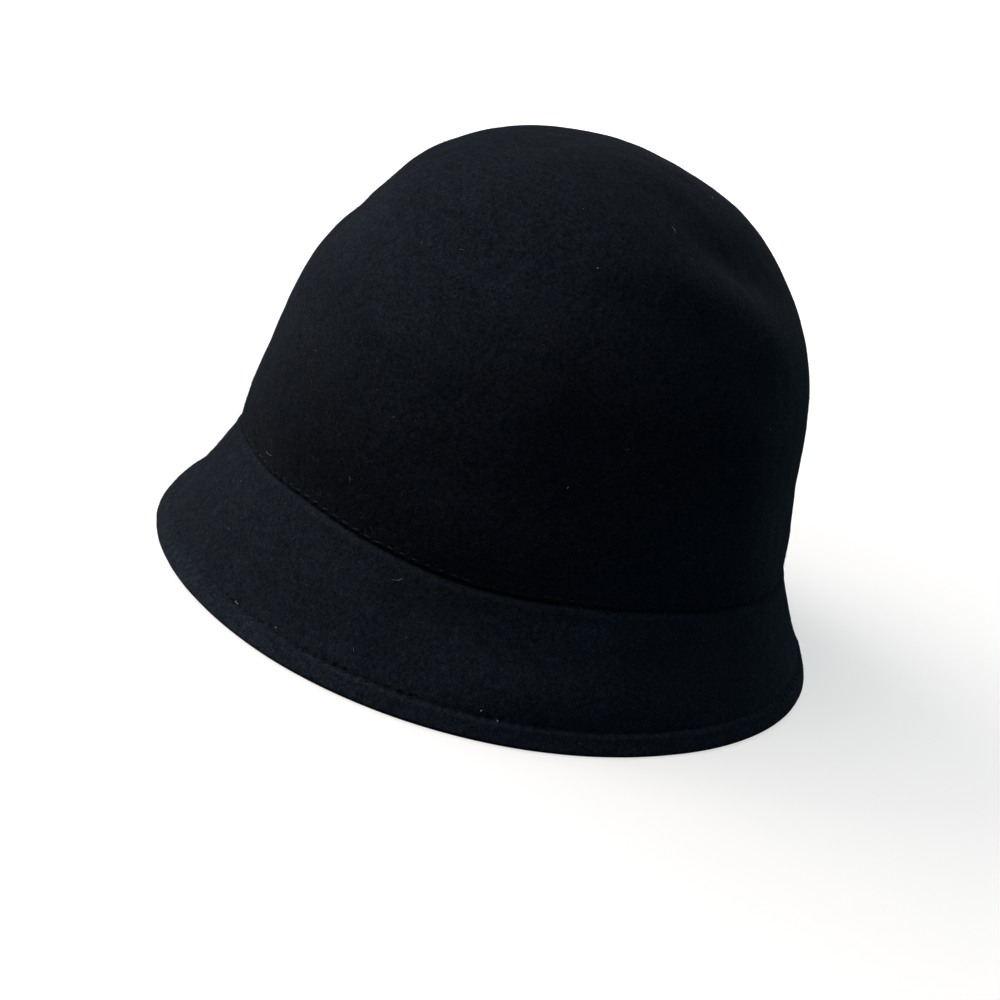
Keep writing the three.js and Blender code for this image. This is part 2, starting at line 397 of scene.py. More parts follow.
def ripples(points, size, seed, count=28):
    """Smooth unevenness about as large as size, between about -1 and 1, from seeded waves."""
    rng = np.random.default_rng(seed)
    way = rng.normal(size=(count, 3))
    way /= np.linalg.norm(way, axis=1, keepdims=True)
    waves = way * (2 * math.pi / size) * rng.uniform(0.6, 1.5, (count, 1))
    phase = rng.uniform(0, 2 * math.pi, count)
    total = np.zeros(points.shape[:-1])
    for wave, shift in zip(waves, phase):
        total += np.sin(points @ wave + shift)
    return total / math.sqrt(count)


def unevenness(points, kinds):
    return sum(high * ripples(points, wide, seed) for high, wide, seed in kinds)


def arc_lengths(points):
    """The distance along a closed ring of points at each of them, and the whole length."""
    steps = np.linalg.norm(np.roll(points, -1, axis=0) - points, axis=1)
    return np.concatenate([[0], np.cumsum(steps)[:-1]]), steps.sum()


def stitch_phase(points, pitch):
    """How many stitches along a ring each of its points is."""
    at, whole = arc_lengths(points)
    return at / whole * round(whole / pitch)


def mesh_object(name, vertices, faces):
    mesh = bpy.data.meshes.new(name)
    mesh.from_pydata(vertices.tolist(), [], faces)
    mesh.validate()
    mesh.update()
    mesh.shade_smooth()
    thing = bpy.data.objects.new(name, mesh)
    bpy.context.scene.collection.objects.link(thing)
    return thing


def faces_between(first, first_count, second, second_count):
    """Faces between two rings that run round the hat. Counts are alike, or one is twice the other."""
    if second_count == 2 * first_count:
        flipped = faces_between(second, second_count, first, first_count)
        return [tuple(reversed(face)) for face in flipped]
    step = np.arange(first_count)
    after = (step + 1) % first_count
    if first_count == second_count:
        quads = np.stack([first + step, second + step, second + after, first + after], 1)
        return [tuple(quad) for quad in quads.tolist()]
    faces = []
    for j in range(second_count):
        a, b, c = (first + (2 * j + k) % first_count for k in range(3))
        low, high = second + j, second + (j + 1) % second_count
        faces += [(a, low, b), (b, low, high), (b, high, c)]
    return faces


def set_lightness(thing, values):
    """How light the felt's colour is at each point of a mesh, with painted light and shade in it."""
    layer = thing.data.attributes.new("lightness", "FLOAT", "POINT")
    layer.data.foreach_set("value", np.asarray(values, np.float32))


def ring_mesh(name, rings, is_loop):
    """A closed mesh from rings of points. A single point at either end is a pole."""
    starts = np.cumsum([0] + [len(ring) for ring in rings[:-1]]).tolist()
    faces = []
    pairs = list(zip(range(len(rings) - 1), range(1, len(rings))))
    if is_loop:
        pairs.append((len(rings) - 1, 0))
    for a, b in pairs:
        first, second = len(rings[a]), len(rings[b])
        if first == 1:
            faces += [(starts[a], starts[b] + j, starts[b] + (j + 1) % second) for j in range(second)]
        elif second == 1:
            faces += [(starts[a] + j, starts[b], starts[a] + (j + 1) % first) for j in range(first)]
        else:
            faces += faces_between(starts[a], first, starts[b], second)
    return mesh_object(name, np.concatenate(rings), faces)


def even_heights(start, count):
    """Height shares from start to the crown's top, evenly apart along its outside."""
    fine = start + (1 - start) * np.sin(np.linspace(0, math.pi / 2, 2000))
    profile = crown_outside(90.0, fine)
    along = np.concatenate([[0], np.cumsum(np.linalg.norm(np.diff(profile, axis=0), axis=1))])
    return np.interp(np.linspace(0, along[-1], count + 1), along, fine)


def pits(phase, sharpness):
    """1 at each needle hole and 0 at the middle of each stitch, along a row of stitches."""
    return (0.5 + 0.5 * np.cos(2 * math.pi * (phase + 0.5))) ** sharpness


def bell(value, middle, width):
    return np.exp(-0.5 * ((value - middle) / width) ** 2)


def turn_bell(turn, other, spread):
    """1 at the other turn, falling to 0 on both sides of it."""
    return bell(turn_from(turn, other), 0, spread)


def seam_looseness(turn):
    """1 where the seam's thread lies loosest on the felt, and 0 where it is drawn in."""
    return turn_bell(turn, SEAM_LOOSE_TURN, SEAM_LOOSE_SPREAD)


def turns_of(points):
    return np.degrees(np.arctan2(points[:, 0], -points[:, 1]))


def tones_at(turn, share, tones):
    """How much lighter than elsewhere the felt's colour is painted, at turns and shares of the way along a
    piece.
    """
    lighter = 0
    for at, middle, spread, reach, much in tones:
        lighter = lighter + much * turn_bell(turn, at, spread) * bell(share, middle, reach)
    return lighter


def crown_lightness(points):
    """How light the crown's colour is: painted shade near its lower edge by the brim, and patches of
    painted light and shade.
    """
    share = (points[:, 2] - SEAM_HEIGHT) / CROWN_HEIGHT
    rise = (CROWN_LIGHTNESS - EDGE_LIGHTNESS) * smoothstep(share, LIGHTER_FROM, LIGHTER_TO)
    return EDGE_LIGHTNESS + rise + tones_at(turns_of(points), share, CROWN_TONES)


def make_crown():
    """The crown: a felt dome, pressed thin along its lower edge by the row of stitches."""
    fine_phase = stitch_phase(crown_outside(turns(FINE), 0), SEAM_PITCH)

    def surface(height, depth, count):
        """One ring of the outside with its small unevenness, at a depth under it."""
        turn = turns(count)
        phase = fine_phase[:: FINE // count]
        above = height * CROWN_HEIGHT
        edge = crown_outside(turn, 0)
        drawn = EDGE_DRAWN + EDGE_DRAWN_LOOSE * seam_looseness(turn)
        waver = unevenness(edge, EDGE_RIPPLES) + drawn * (pits(phase, 2) - 0.4)
        height = height + waver * (1 - smoothstep(above, 0, DRAWN_REACH)) / CROWN_HEIGHT
        points = crown_outside(turn, height)
        relief = unevenness(points, CROWN_RIPPLES)
        if above < SEAM_REACH:
            uneven = 0.75 + 0.25 * ripples(points, 11 * MM, 8)
            groove = SEAM_GROOVE * bell(above, SEAM_INSET, SEAM_GROOVE_WIDTH)
            holes = SEAM_HOLE * bell(above, SEAM_HOLE_HEIGHT, SEAM_HOLE_WIDTH) * pits(phase, 4)
            relief = relief - (groove + holes) * uneven
            relief = relief + EDGE_PUFF * bell(above, 0, EDGE_PUFF_WIDTH) * (0.5 - pits(phase, 2))
        shift = depth - relief * (1 - smoothstep(depth, 0.5 * MM, 1.5 * MM))
        return points - crown_normal(turn, height) * np.asarray(shift)[..., None]

    def felt_at(height):
        ramp = smoothstep(height * CROWN_HEIGHT - LAP_DEPTH, 0, PRESSED_RAMP)
        return CROWN_EDGE_FELT + (CROWN_FELT - CROWN_EDGE_FELT) * ramp

    # The outside from the top down, with the rings closest together round the stitches
    near = np.linspace(CUT_ROUND, 4.2 * MM, 14) / CROWN_HEIGHT
    between = np.linspace(5 * MM, 19 * MM, 13) / CROWN_HEIGHT
    above = even_heights(between[-1], 92)[1:-1]
    outer = [surface(height, 0.0, COARSE) for height in above[::-1]]
    outer += [surface(height, 0.0, MIDDLE) for height in between[::-1]]
    outer += [surface(height, 0.0, FINE) for height in near[::-1]]

    # The cut edge, rounded on both sides, and the inside up to the top
    corners = []
    for angle in np.radians([30, 60, 90]):
        rise = CUT_ROUND * (1 - math.sin(angle)) / CROWN_HEIGHT
        corners.append((rise, CUT_ROUND * (1 - math.cos(angle))))
    outer += [surface(rise, depth, FINE) for rise, depth in corners]
    outer += [surface(rise, CROWN_EDGE_FELT - depth, MIDDLE) for rise, depth in corners[::-1]]
    inside = np.concatenate([[CUT_ROUND / CROWN_HEIGHT, LAP_DEPTH / CROWN_HEIGHT],
                             even_heights((LAP_DEPTH + 1.5 * MM) / CROWN_HEIGHT, 34)[:-1]])
    inner = [under_crown(turns(COARSE), height, felt_at(height)) for height in inside]
    top = outer[0].mean(axis=0, keepdims=True)
    top_inside = inner[-1].mean(axis=0, keepdims=True)
    crown = ring_mesh("felt_crown", [top, *outer, *inner, top_inside], False)
    set_lightness(crown, crown_lightness(np.concatenate([top, *outer, *inner, top_inside])))
    return crown


def hem_line(face):
    """How far down the brim's face its hem is stitched."""
    return face.length - HEM_WIDTH


def brim_bow(face, down):
    """How far the face stands out from the straight way down to the rim."""
    share = down / hem_line(face)
    bow = read_column(BRIM_BOW, "bow", np.clip(share, 0, 1)) * face.length
    for turn, middle, spread, reach, rise in BRIM_SWELLS:
        away = turn_from(face.turn, turn) / spread
        fade = smoothstep(share, 0, SWELL_FADE)
        bow = bow + rise * fade * np.exp(-0.5 * (away ** 2 + ((share - middle) / reach) ** 2))
    return bow


def hem_puff(past):
    """How far the padded hem stands out at a distance past its stitches."""
    rise = smoothstep(past, PUFF_START, PUFF_END)
    return HEM_PUFF * rise * (1 - PUFF_LOSS * np.clip(past / HEM_WIDTH, 0, 1))


def brim_lightness(points):
    """How light the brim's colour is: a painted highlight towards the rim, most at the front, and patches
    of painted light and shade.
    """
    turn = turns_of(points)
    reach = np.hypot(points[:, 0] / RIM_HALF_WIDTH, points[:, 1] / RIM_HALF_LENGTH)
    rim_light = RIM_PAINTED_LIGHT + MOST_PAINTED_LIGHT * turn_bell(turn, BRIGHTEST_TURN, BRIGHTEST_SPREAD)
    tones = tones_at(turn, 1 - points[:, 2] / SEAM_HEIGHT, BRIM_TONES)
    return BRIM_LIGHTNESS + rim_light * smoothstep(reach, RIM_LIGHT_FROM, RIM_LIGHT_TO) + tones


def rest(points):
    """Felt that would reach under the surface the hat stands on is pressed flat there."""
    points = points.copy()
    points[:, 2] = np.maximum(points[:, 2], 0)
    return points


def make_brim():
    """The brim: the stand inside the crown, the flared face and the hem turned under along the rim."""
    faces = {count: BrimFace(turns(count)) for count in (FINE, MIDDLE, COARSE)}
    fine = faces[FINE]
    fine_phase = stitch_phase(fine.point(hem_line(fine), 0), HEM_PITCH)

    def outer_ring(place, count):
        """A ring of the outside. place gives the distance down the face."""
        face = faces[count]
        phase = fine_phase[:: FINE // count]
        down = place(face)
        points = face.point(down, brim_bow(face, down))
        past = down - hem_line(face)
        relief = unevenness(points, BRIM_RIPPLES)
        uneven = 0.8 + 0.3 * ripples(points, 12 * MM, 9)
        groove = HEM_GROOVE * bell(past, 0, HEM_GROOVE_WIDTH)
        tight = turn_bell(face.turn, HEM_TIGHT_TURN, HEM_TIGHT_SPREAD)
        holes = (HEM_HOLE + HEM_TIGHT_HOLE * tight) * bell(past, 0, HEM_HOLE_WIDTH) * pits(phase, 3)
        relief -= (groove + holes) * uneven
        pinch = (0.5 - pits(phase, 1)) * (1 - smoothstep(past, PINCH_FROM, PINCH_TO))
        relief += hem_puff(past) * (1 + HEM_PINCH * pinch)
        return points + face.outwards * relief[:, None]

    def inner_ring(place, out, count):
        face = faces[count]
        down = place(face)
        points = face.point(down, brim_bow(face, down) + out)
        relief = unevenness(points, INSIDE_RIPPLES)
        return rest(points + face.outwards * relief[:, None])

    def bend_ring(down, out):
        return faces[MIDDLE].point(down, out)

    # The stand, then the bend out from under the crown's edge
    stand_depth = CROWN_EDGE_FELT + SEAM_GAP
    lap = LAP_DEPTH / CROWN_HEIGHT
    rings = [under_crown(turns(MIDDLE), share * lap, stand_depth) for share in (1, 0.66, 0.33, 0.1)]
    rings.append(bend_ring(0.3 * MM, -stand_depth - 0.05 * MM))
    for share in np.linspace(0.2, 0.9, 7):
        rings.append(bend_ring(share * BEND_LENGTH, -stand_depth * (1 - share) ** 1.8))

    # The face, closer rings round the stitch line, and the hem down to its fold
    for share in np.linspace(0.11, 0.92, 19):
        rings.append(outer_ring(lambda face: share * hem_line(face), MIDDLE))
    for past in np.linspace(-2.0, 2.0, 15) * MM:
        rings.append(outer_ring(lambda face: hem_line(face) + past, FINE))
    fold_start = HEM_WIDTH - HEM_FOLD - HEM_TUCK
    for past in np.linspace(2.5 * MM, fold_start, 7):
        rings.append(outer_ring(lambda face: hem_line(face) + past, MIDDLE))

    # The fold along the rim, round and pressed flat where it rests
    face = faces[MIDDLE]
    crest = hem_puff(fold_start)
    half = (crest - HEM_UNDERSIDE) / 2
    for angle in np.radians(np.linspace(14, 172, 14)):
        down = hem_line(face) + fold_start + HEM_FOLD * math.sin(angle)
        points = face.point(down, brim_bow(face, down) + crest - half + half * math.cos(angle))
        relief = unevenness(points, BRIM_RIPPLES) * max(math.cos(angle), 0)
        rings.append(rest(points + face.outwards * relief[:, None]))

    # The turned-under layer, its cut edge and the inside of the face
    for share in np.linspace(0.95, 0, 6):
        rings.append(inner_ring(lambda face: hem_line(face) + share * fold_start, HEM_UNDERSIDE, MIDDLE))
    cut_edge = [
        (0.35 * MM, HEM_UNDERSIDE + 0.3 * MM),
        (0.5 * MM, HEM_UNDERSIDE + 1.0 * MM),
        (0.55 * MM, -BRIM_FELT - 0.25 * MM),
        (0.9 * MM, -BRIM_FELT),
    ]
    for back, out in cut_edge:
        rings.append(inner_ring(lambda face: hem_line(face) - back, out, MIDDLE))
    for share in np.linspace(0.92, 0.08, 12):
        rings.append(inner_ring(lambda face: share * hem_line(face), -BRIM_FELT, COARSE))

    # The stand's inside and its upper edge
    full = stand_depth + STAND_FELT
    rings.append(faces[COARSE].point(1.0 * MM, -full + 0.2 * MM))
    rings += [under_crown(turns(COARSE), share * lap, full) for share in (0.1, 0.5, 0.95)]
    rings += [under_crown(turns(COARSE), 1.03 * lap, full - STAND_FELT * share) for share in (0.3, 0.7)]
    brim = ring_mesh("felt_brim", rings, True)
    set_lightness(brim, np.concatenate([brim_lightness(ring) for ring in rings]))
    return brim


def read_ring(values, along, whole, where):
    """Values of a closed ring read at distances along it."""
    closed = np.concatenate([along, [whole]])
    ring = np.concatenate([values, values[:1]])
    where = where % whole
    return np.stack([np.interp(where, closed, ring[:, k]) for k in range(3)], -1)


class Strands:
    """Many short tubes joined in one mesh."""

    def __init__(self, sides):
        self.sides = sides
        self.vertices = []
        self.faces = []
        self.count = 0

    def add(self, line, normal, radius):
        """A tube along a line of points, with an outward direction and a radius at each."""
        sides = self.sides
        forward = unit(np.gradient(line, axis=0))
        side = unit(np.cross(forward, normal))
        out = np.cross(side, forward)
        angle = 2 * math.pi * np.arange(sides) / sides
        wheel = side[:, None] * np.cos(angle)[None, :, None] + out[:, None] * np.sin(angle)[None, :, None]
        self.vertices.append((line[:, None] + wheel * radius[:, None, None]).reshape(-1, 3))
        first, spans = self.count, len(line)
        for k in range(spans - 1):
            for i in range(sides):
                a = first + k * sides + i
                b = first + k * sides + (i + 1) % sides
                self.faces.append((a, a + sides, b + sides, b))
        self.faces.append(tuple(first + i for i in range(sides)))
        self.faces.append(tuple(first + (spans - 1) * sides + i for i in reversed(range(sides))))
        self.count += spans * sides

    def make(self, name):
        return mesh_object(name, np.concatenate(self.vertices), self.faces)


def stitch_row(name, points, normals, pitch, thread, sinks, seed):
    """A row of separate thread stitches along a closed ring, each dipping into the felt at both ends.
    sinks says how deep the felt takes the thread at each of the ring's points."""
    rng = random.Random(seed)
    along, whole = arc_lengths(points)
    count = round(whole / pitch)
    step = whole / count
    strands = Strands(STITCH_SIDES)
    t = np.linspace(-1, 1, STITCH_POINTS)
    for i in range(count):
        middle = (i + 0.5 + rng.uniform(-0.04, 0.04)) * step
        half = step * STITCH_SHARE / 2 * rng.uniform(0.84, 1.10)
        where = middle + half * t
        line = read_ring(points, along, whole, where)
        normal = unit(read_ring(normals, along, whole, where))
        side = np.cross(unit(np.gradient(line, axis=0)), normal)
        sink = sinks[round(middle / whole * len(points)) % len(points)]
        lift = thread * (STITCH_RISE - STITCH_DIVE * np.abs(t) ** 3.5) - sink * rng.uniform(0.8, 1.25)
        skew = rng.uniform(-0.2, 0.2) * MM * t + rng.uniform(-0.12, 0.12) * MM
        line = line + normal * lift[:, None] + side * skew[:, None]
        strands.add(line, normal, thread / 2 * (1 - 0.35 * np.abs(t) ** 3))
    return strands.make(name)


def make_stitches():
    """The seam's row on the crown and inside the stand, and the hem's row on both faces of the brim."""
    turn = turns(FINE)
    height = SEAM_INSET / CROWN_HEIGHT
    crown_line = crown_outside(turn, height)
    crown_out = crown_normal(turn, height)
    stand_line = crown_line - crown_out * (CROWN_EDGE_FELT + SEAM_GAP + STAND_FELT)
    face = BrimFace(turn)
    bow = brim_bow(face, hem_line(face))
    hem_outer = face.point(hem_line(face), bow)
    hem_inner = face.point(hem_line(face) + 0.9 * MM, bow + HEM_UNDERSIDE)
    seam_sinks = SEAM_SINK - SEAM_LOOSE_RISE * seam_looseness(turn)
    hem_sinks = HEM_SINK - HEM_LOOSE_RISE * turn_bell(turn, HEM_LOOSE_TURN, HEM_LOOSE_SPREAD)
    inside_sinks = np.full(FINE, INSIDE_SINK)
    rows = [
        ("seam_stitches", crown_line, crown_out, SEAM_PITCH, SEAM_THREAD, seam_sinks),
        ("seam_stitches_inside", stand_line, -crown_out, SEAM_PITCH, SEAM_THREAD, inside_sinks),
        ("hem_stitches", hem_outer, face.outwards, HEM_PITCH, HEM_THREAD, hem_sinks),
        ("hem_stitches_inside", hem_inner, -face.outwards, HEM_PITCH, HEM_THREAD, inside_sinks),
    ]
    return [stitch_row(*row, seed) for seed, row in enumerate(rows, STITCH_SEED)]


def felt_places(count, rng):
    """Random places on the hat's outside, about even over its area: points and outward directions."""
    turn = rng.uniform(0, 360, count)
    on_brim = rng.uniform(size=count) < BRIM_SHARE
    height = rng.uniform(0.012, 1, count)
    girth = np.sqrt(np.maximum(read_column(CROWN_SECTIONS, "girth", height, 2), 0.0))
    keep = rng.uniform(size=count) < np.maximum(girth, 0.30)
    face = BrimFace(turn)
    down = rng.uniform(0.05, 0.95, count) * face.length
    brim_point = face.point(down, brim_bow(face, down) + hem_puff(down - hem_line(face)))
    point = np.where(on_brim[:, None], brim_point, crown_outside(turn, height))
    normal = np.where(on_brim[:, None], face.outwards, crown_normal(turn, height))
    keep |= on_brim
    return point[keep], normal[keep]


def felt_place(piece, turn, along):
    """A point on the outside of the crown or the brim, and the outward direction there."""
    turn = np.array([float(turn)])
    if piece == "crown":
        return crown_outside(turn, along)[0], crown_normal(turn, along)[0]
    face = BrimFace(turn)
    down = along * face.length
    return face.point(down, brim_bow(face, down) + hem_puff(down - hem_line(face)))[0], face.outwards[0]


def add_fibre(strands, point, normal, way, length, thickness, curl, twist, lift, points):
    """A curly fibre through a point, with its ends dipping into the felt."""
    t = np.linspace(-0.5, 0.5, points)
    side = np.cross(normal, way)
    bend = curl * (t * t - 0.08) + twist * t ** 3
    rise = lift - 0.8 * abs(lift) * (2 * t) ** 2
    line = point + way * (length * t)[:, None] + side * (length * bend)[:, None] + normal * rise[:, None]
    strands.add(line, np.broadcast_to(normal, line.shape), thickness / 2 * (1 - 1.6 * t * t))


def scatter_fibres(strands, count, length, thickness, lift, seed):
    """Short curly fibres that lie loosely on the felt, all over the outside."""
    rng = np.random.default_rng(seed)
    for point, normal in zip(*felt_places(count, rng)):
        way = rng.normal(size=3)
        way = unit(way - normal * (way @ normal))
        add_fibre(strands, point, normal, way, length * rng.uniform(0.45, 1.35),
                  thickness * rng.uniform(0.7, 1.3), rng.uniform(-1.1, 1.1), rng.uniform(-0.5, 0.5),
                  lift * rng.uniform(0.2, 1.0), FIBRE_POINTS)


def make_nap():
    strands = Strands(NAP_SIDES)
    scatter_fibres(strands, *NAP)
    return strands.make("nap_fibres")


def make_lint():
    strands = Strands(LINT_SIDES)
    for piece, turn, along, length, thickness, way, curl in LINT:
        point, normal = felt_place(piece, turn, along)
        level = unit(np.cross(np.array([0, 0, 1.0]), normal))
        up = np.cross(normal, level)
        angle = math.radians(way)
        way = level * math.cos(angle) + up * math.sin(angle)
        add_fibre(strands, point, normal, way, length, thickness, curl, 0.2, LINT_LIFT, LINT_POINTS)
    scatter_fibres(strands, *LOOSE_LINT)
    scatter_fibres(strands, *DUST)
    return strands.make("lint_fibres")


class Nodes:
    """A small helper that adds and links the nodes of one material."""

    def __init__(self, name):
        self.material = bpy.data.materials.new(name)
        self.material.use_nodes = True
        self.tree = self.material.node_tree
        self.shader = self.tree.nodes["Principled BSDF"]

    def add(self, kind, **values):
        node = self.tree.nodes.new(kind)
        for key, value in values.items():
            setattr(node, key, value)
        return node

    def link(self, a, b):
        self.tree.links.new(a, b)

    def coordinates(self):
        return self.add("ShaderNodeTexCoord").outputs["Object"]

    def noise(self, where, size, detail=2.0, roughness=0.5, distortion=0.0):
        node = self.add("ShaderNodeTexNoise")
        node.inputs["Scale"].default_value = 1 / size
        node.inputs["Detail"].default_value = detail
        node.inputs["Roughness"].default_value = roughness
        node.inputs["Distortion"].default_value = distortion
        self.link(where, node.inputs["Vector"])
        return node.outputs["Fac"]

    def ramp(self, fac, stops):
        node = self.add("ShaderNodeValToRGB")
        ramp = node.color_ramp
        while len(ramp.elements) < len(stops):
            ramp.elements.new(0.5)
        for element, (at, colour) in zip(ramp.elements, stops):
            element.position = at
            element.color = (*colour, 1)
        self.link(fac, node.inputs["Fac"])
        return node.outputs["Color"]

    def mix(self, kind, fac, a, b):
        node = self.add("ShaderNodeMix", data_type="RGBA", blend_type=kind)
        for value, socket in ((fac, 0), (a, 6), (b, 7)):
            if hasattr(value, "is_output"):
                self.link(value, node.inputs[socket])
            elif socket == 0:
                node.inputs[socket].default_value = value
            else:
                node.inputs[socket].default_value = (*value, 1)
        return node.outputs[2]

    def bump(self, height, distance, strength, normal=None):
        node = self.add("ShaderNodeBump")
        node.inputs["Distance"].default_value = distance
        node.inputs["Strength"].default_value = strength
        self.link(height, node.inputs["Height"])
        if normal is not None:
            self.link(normal, node.inputs["Normal"])
        return node.outputs["Normal"]

    def set(self, **values):
        for key, value in values.items():
            self.shader.inputs[key.replace("_", " ")].default_value = value


# The patterns in the felt: size, detail, roughness and distortion
FELT_PATTERNS = {
    "cloud": (24 * MM, 3, 0.55, 0),
    "tint": (6 * MM, 2, 0.5, 0),
    "matted": (7 * MM, 3, 0.6, 0.3),
    "clump": (3.2 * MM, 3, 0.6, 0.5),
    "grain": (1.15 * MM, 2, 0.6, 0.9),
    "fibre": (0.55 * MM, 2, 0.7, 1.4),
}

# The felt's two blues, how much warmer it is in patches, how much its patterns darken and lighten it, and
# how dull its fibres are
FELT_BLUES = [(0.30, (0.0058, 0.0086, 0.0134)), (0.72, (0.0074, 0.0104, 0.0156))]
WARMER = (1.08, 1.02, 0.95)
WARM_PATCHES = [(0.42, (0, 0, 0)), (0.62, (1, 1, 1))]
FELT_CONTRASTS = {
    "clump": [(0.30, (0.86, 0.86, 0.86)), (0.70, (1.14, 1.14, 1.14))],
    "grain": [(0.34, (0.60, 0.60, 0.60)), (0.66, (1.42, 1.42, 1.41))],
    "fibre": [(0.34, (0.42, 0.42, 0.43)), (0.66, (1.64, 1.64, 1.62))],
}
FIBRE_ROUGHNESS = [(0.2, (0.86, 0.86, 0.86)), (0.8, (1.0, 1.0, 1.0))]

# How high and how strongly the patterns stand out
FELT_BUMPS = {
    "matted": (0.40 * MM, 0.4),
    "grain": (0.34 * MM, 0.6),
    "fibre": (0.18 * MM, 0.8),
}


def felt_material():
    """Blue-black wool felt: matted fibres, faint cloudy mottling and a short nap that catches the light."""
    n = Nodes("wool_felt")
    where = n.coordinates()
    lightness = n.add("ShaderNodeAttribute", attribute_name="lightness").outputs["Color"]
    patterns = {name: n.noise(where, *values) for name, values in FELT_PATTERNS.items()}
    blue = n.ramp(patterns["cloud"], FELT_BLUES)
    warm = n.mix("MULTIPLY", 1.0, blue, WARMER)
    base = n.mix("MIX", n.ramp(patterns["tint"], WARM_PATCHES), blue, warm)
    # The lightness attribute paints light and shade into the felt's colour.
    colour = n.mix("MULTIPLY", 1.0, base, lightness)
    for name, contrast in FELT_CONTRASTS.items():
        colour = n.mix("MULTIPLY", 1.0, colour, n.ramp(patterns[name], contrast))
    n.link(colour, n.shader.inputs["Base Color"])
    n.link(n.ramp(patterns["fibre"], FIBRE_ROUGHNESS), n.shader.inputs["Roughness"])
    n.set(Specular_IOR_Level=0.03, Sheen_Weight=0.033, Sheen_Roughness=0.28)
    n.shader.inputs["Sheen Tint"].default_value = (0.86, 0.91, 1.0, 1)
    normal = None
    for name, (height, strength) in FELT_BUMPS.items():
        normal = n.bump(patterns[name], height, strength, normal)
    n.link(normal, n.shader.inputs["Normal"])
    return n.material


# Thread and loose fibres: dark and light colour, the size of their unevenness, shine and bump
STRAND_LOOKS = {
    "sewing_thread": ((0.0060, 0.0090, 0.0135), (0.0150, 0.0200, 0.0270), 0.3 * MM, 0.08, 0.6),
    "loose_nap": ((0.009, 0.012, 0.016), (0.050, 0.059, 0.072), 3 * MM, 0.2, 0.2),
    "pale_lint": ((0.16, 0.18, 0.20), (0.42, 0.46, 0.50), 1 * MM, 0.3, 0.2),
}
STRAND_ROUGHNESS = [(0.2, (0.7, 0.7, 0.7)), (0.8, (0.9, 0.9, 0.9))]


def strand_material(name):
    """Thread or loose fibres, uneven along their length."""
    dark, light, size, specular, bump = STRAND_LOOKS[name]
    n = Nodes(name)
    where = n.coordinates()
    uneven = n.noise(where, size, 2, 0.5, 0.8)
    n.link(n.ramp(uneven, [(0.3, dark), (0.75, light)]), n.shader.inputs["Base Color"])
    n.link(n.ramp(uneven, STRAND_ROUGHNESS), n.shader.inputs["Roughness"])
    n.set(Specular_IOR_Level=specular)
    n.link(n.bump(uneven, 0.06 * MM, bump), n.shader.inputs["Normal"])
    return n.material


# The floor's paper, the light that it gives by itself, and how strong that light is at a distance from the
# hat's middle and at a larger one. Weaker near the hat, that light leaves a painted shade round it.
PAPER_COLOUR = (0.420, 0.437, 0.455)
PAPER_LIGHT = (1.015, 1.0, 0.98)
PAPER_GLOW = {"From Min": 0.15, "To Min": 0.62, "From Max": 0.80, "To Max": 1.0}


def floor_material():
    """Pale paper, partly lit by itself so that it reads as white, with a faint soft shadow, partly real and
    partly painted shade where its own light is weaker near the hat.
    """
    n = Nodes("pale_floor")
    n.set(Roughness=1.0, Specular_IOR_Level=0.0)
    away = n.add("ShaderNodeVectorMath", operation="LENGTH")
    n.link(n.coordinates(), away.inputs[0])
    # The floor's own light is weaker near the hat: painted shade round it.
    glow = n.add("ShaderNodeMapRange", interpolation_type="SMOOTHSTEP")
    n.link(away.outputs["Value"], glow.inputs["Value"])
    for name, value in PAPER_GLOW.items():
        glow.inputs[name].default_value = value
    n.link(glow.outputs["Result"], n.shader.inputs["Emission Strength"])
    n.set(Base_Color=(*PAPER_COLOUR, 1), Emission_Color=(*PAPER_LIGHT, 1))
    return n.material


# The camera, as fitted to the photograph: its turn and height round the hat, its roll, its distance, how
# far its aim is from the middle of the rim, along the image and up, its focal length in pixels, the width
# of its sensor in millimetres and that of the image in pixels
CAMERA_TURN = 47.76
CAMERA_UP = 21.93
CAMERA_ROLL = 17.69
CAMERA_AWAY = 838.4 * MM
AIM_ALONG = -5.22 * MM
AIM_UP = 35.05 * MM
FOCAL_PIXELS = 2416.8
SENSOR = 36.0
IMAGE = 1000

# The light: where each lamp hangs from the hat's middle along the camera's right, up and backward
# directions, how wide it is, its power and its colour
LAMPS = {
    "key": ((-1.52, 1.59, 0.0), 1.8, 35, (1.20, 1.04, 0.94)),
    "front": ((-0.80, 1.80, 1.05), 1.8, 34, (1.20, 1.04, 0.94)),
    "side": ((1.8, 0.3, -1.6), 1.8, 12, (0.84, 1.08, 1.20)),
}

# The sky's strength, its colour level and below, and its colour from some way up
SKY_LIGHT = 0.19
SKY_LOW = (0.20, 0.33, 0.42)
SKY_HIGH = (0.58, 0.92, 1.14)
SKY_HIGH_FROM = 0.6

# The floor's reach to each side and how far it lies under the rim, and the far wall's sides and height
FLOOR_REACH = 8.0
FLOOR_BELOW = 0.04 * MM
WALL_SIDES = 48
WALL_HEIGHT = 8.0


def camera_axes():
    """The camera's right, up and backward directions."""
    turn, up, roll = (math.radians(v) for v in (CAMERA_TURN, CAMERA_UP, CAMERA_ROLL))
    back = Vector((math.sin(turn) * math.cos(up), -math.cos(turn) * math.cos(up), math.sin(up)))
    level = Vector((math.cos(turn), math.sin(turn), 0))
    rise = back.cross(level)
    right = level * math.cos(roll) + rise * math.sin(roll)
    return right, rise * math.cos(roll) - level * math.sin(roll), back


def add_camera():
    right, up, back = camera_axes()
    data = bpy.data.cameras.new("camera")
    data.sensor_width = SENSOR
    data.lens = FOCAL_PIXELS * SENSOR / IMAGE
    data.clip_end = 50
    camera = bpy.data.objects.new("camera", data)
    where = right * AIM_ALONG + Vector((0, 0, AIM_UP)) + back * CAMERA_AWAY
    axes = Matrix((right, up, back)).transposed()
    camera.matrix_world = Matrix.Translation(where) @ axes.to_4x4()
    bpy.context.scene.collection.objects.link(camera)
    bpy.context.scene.camera = camera


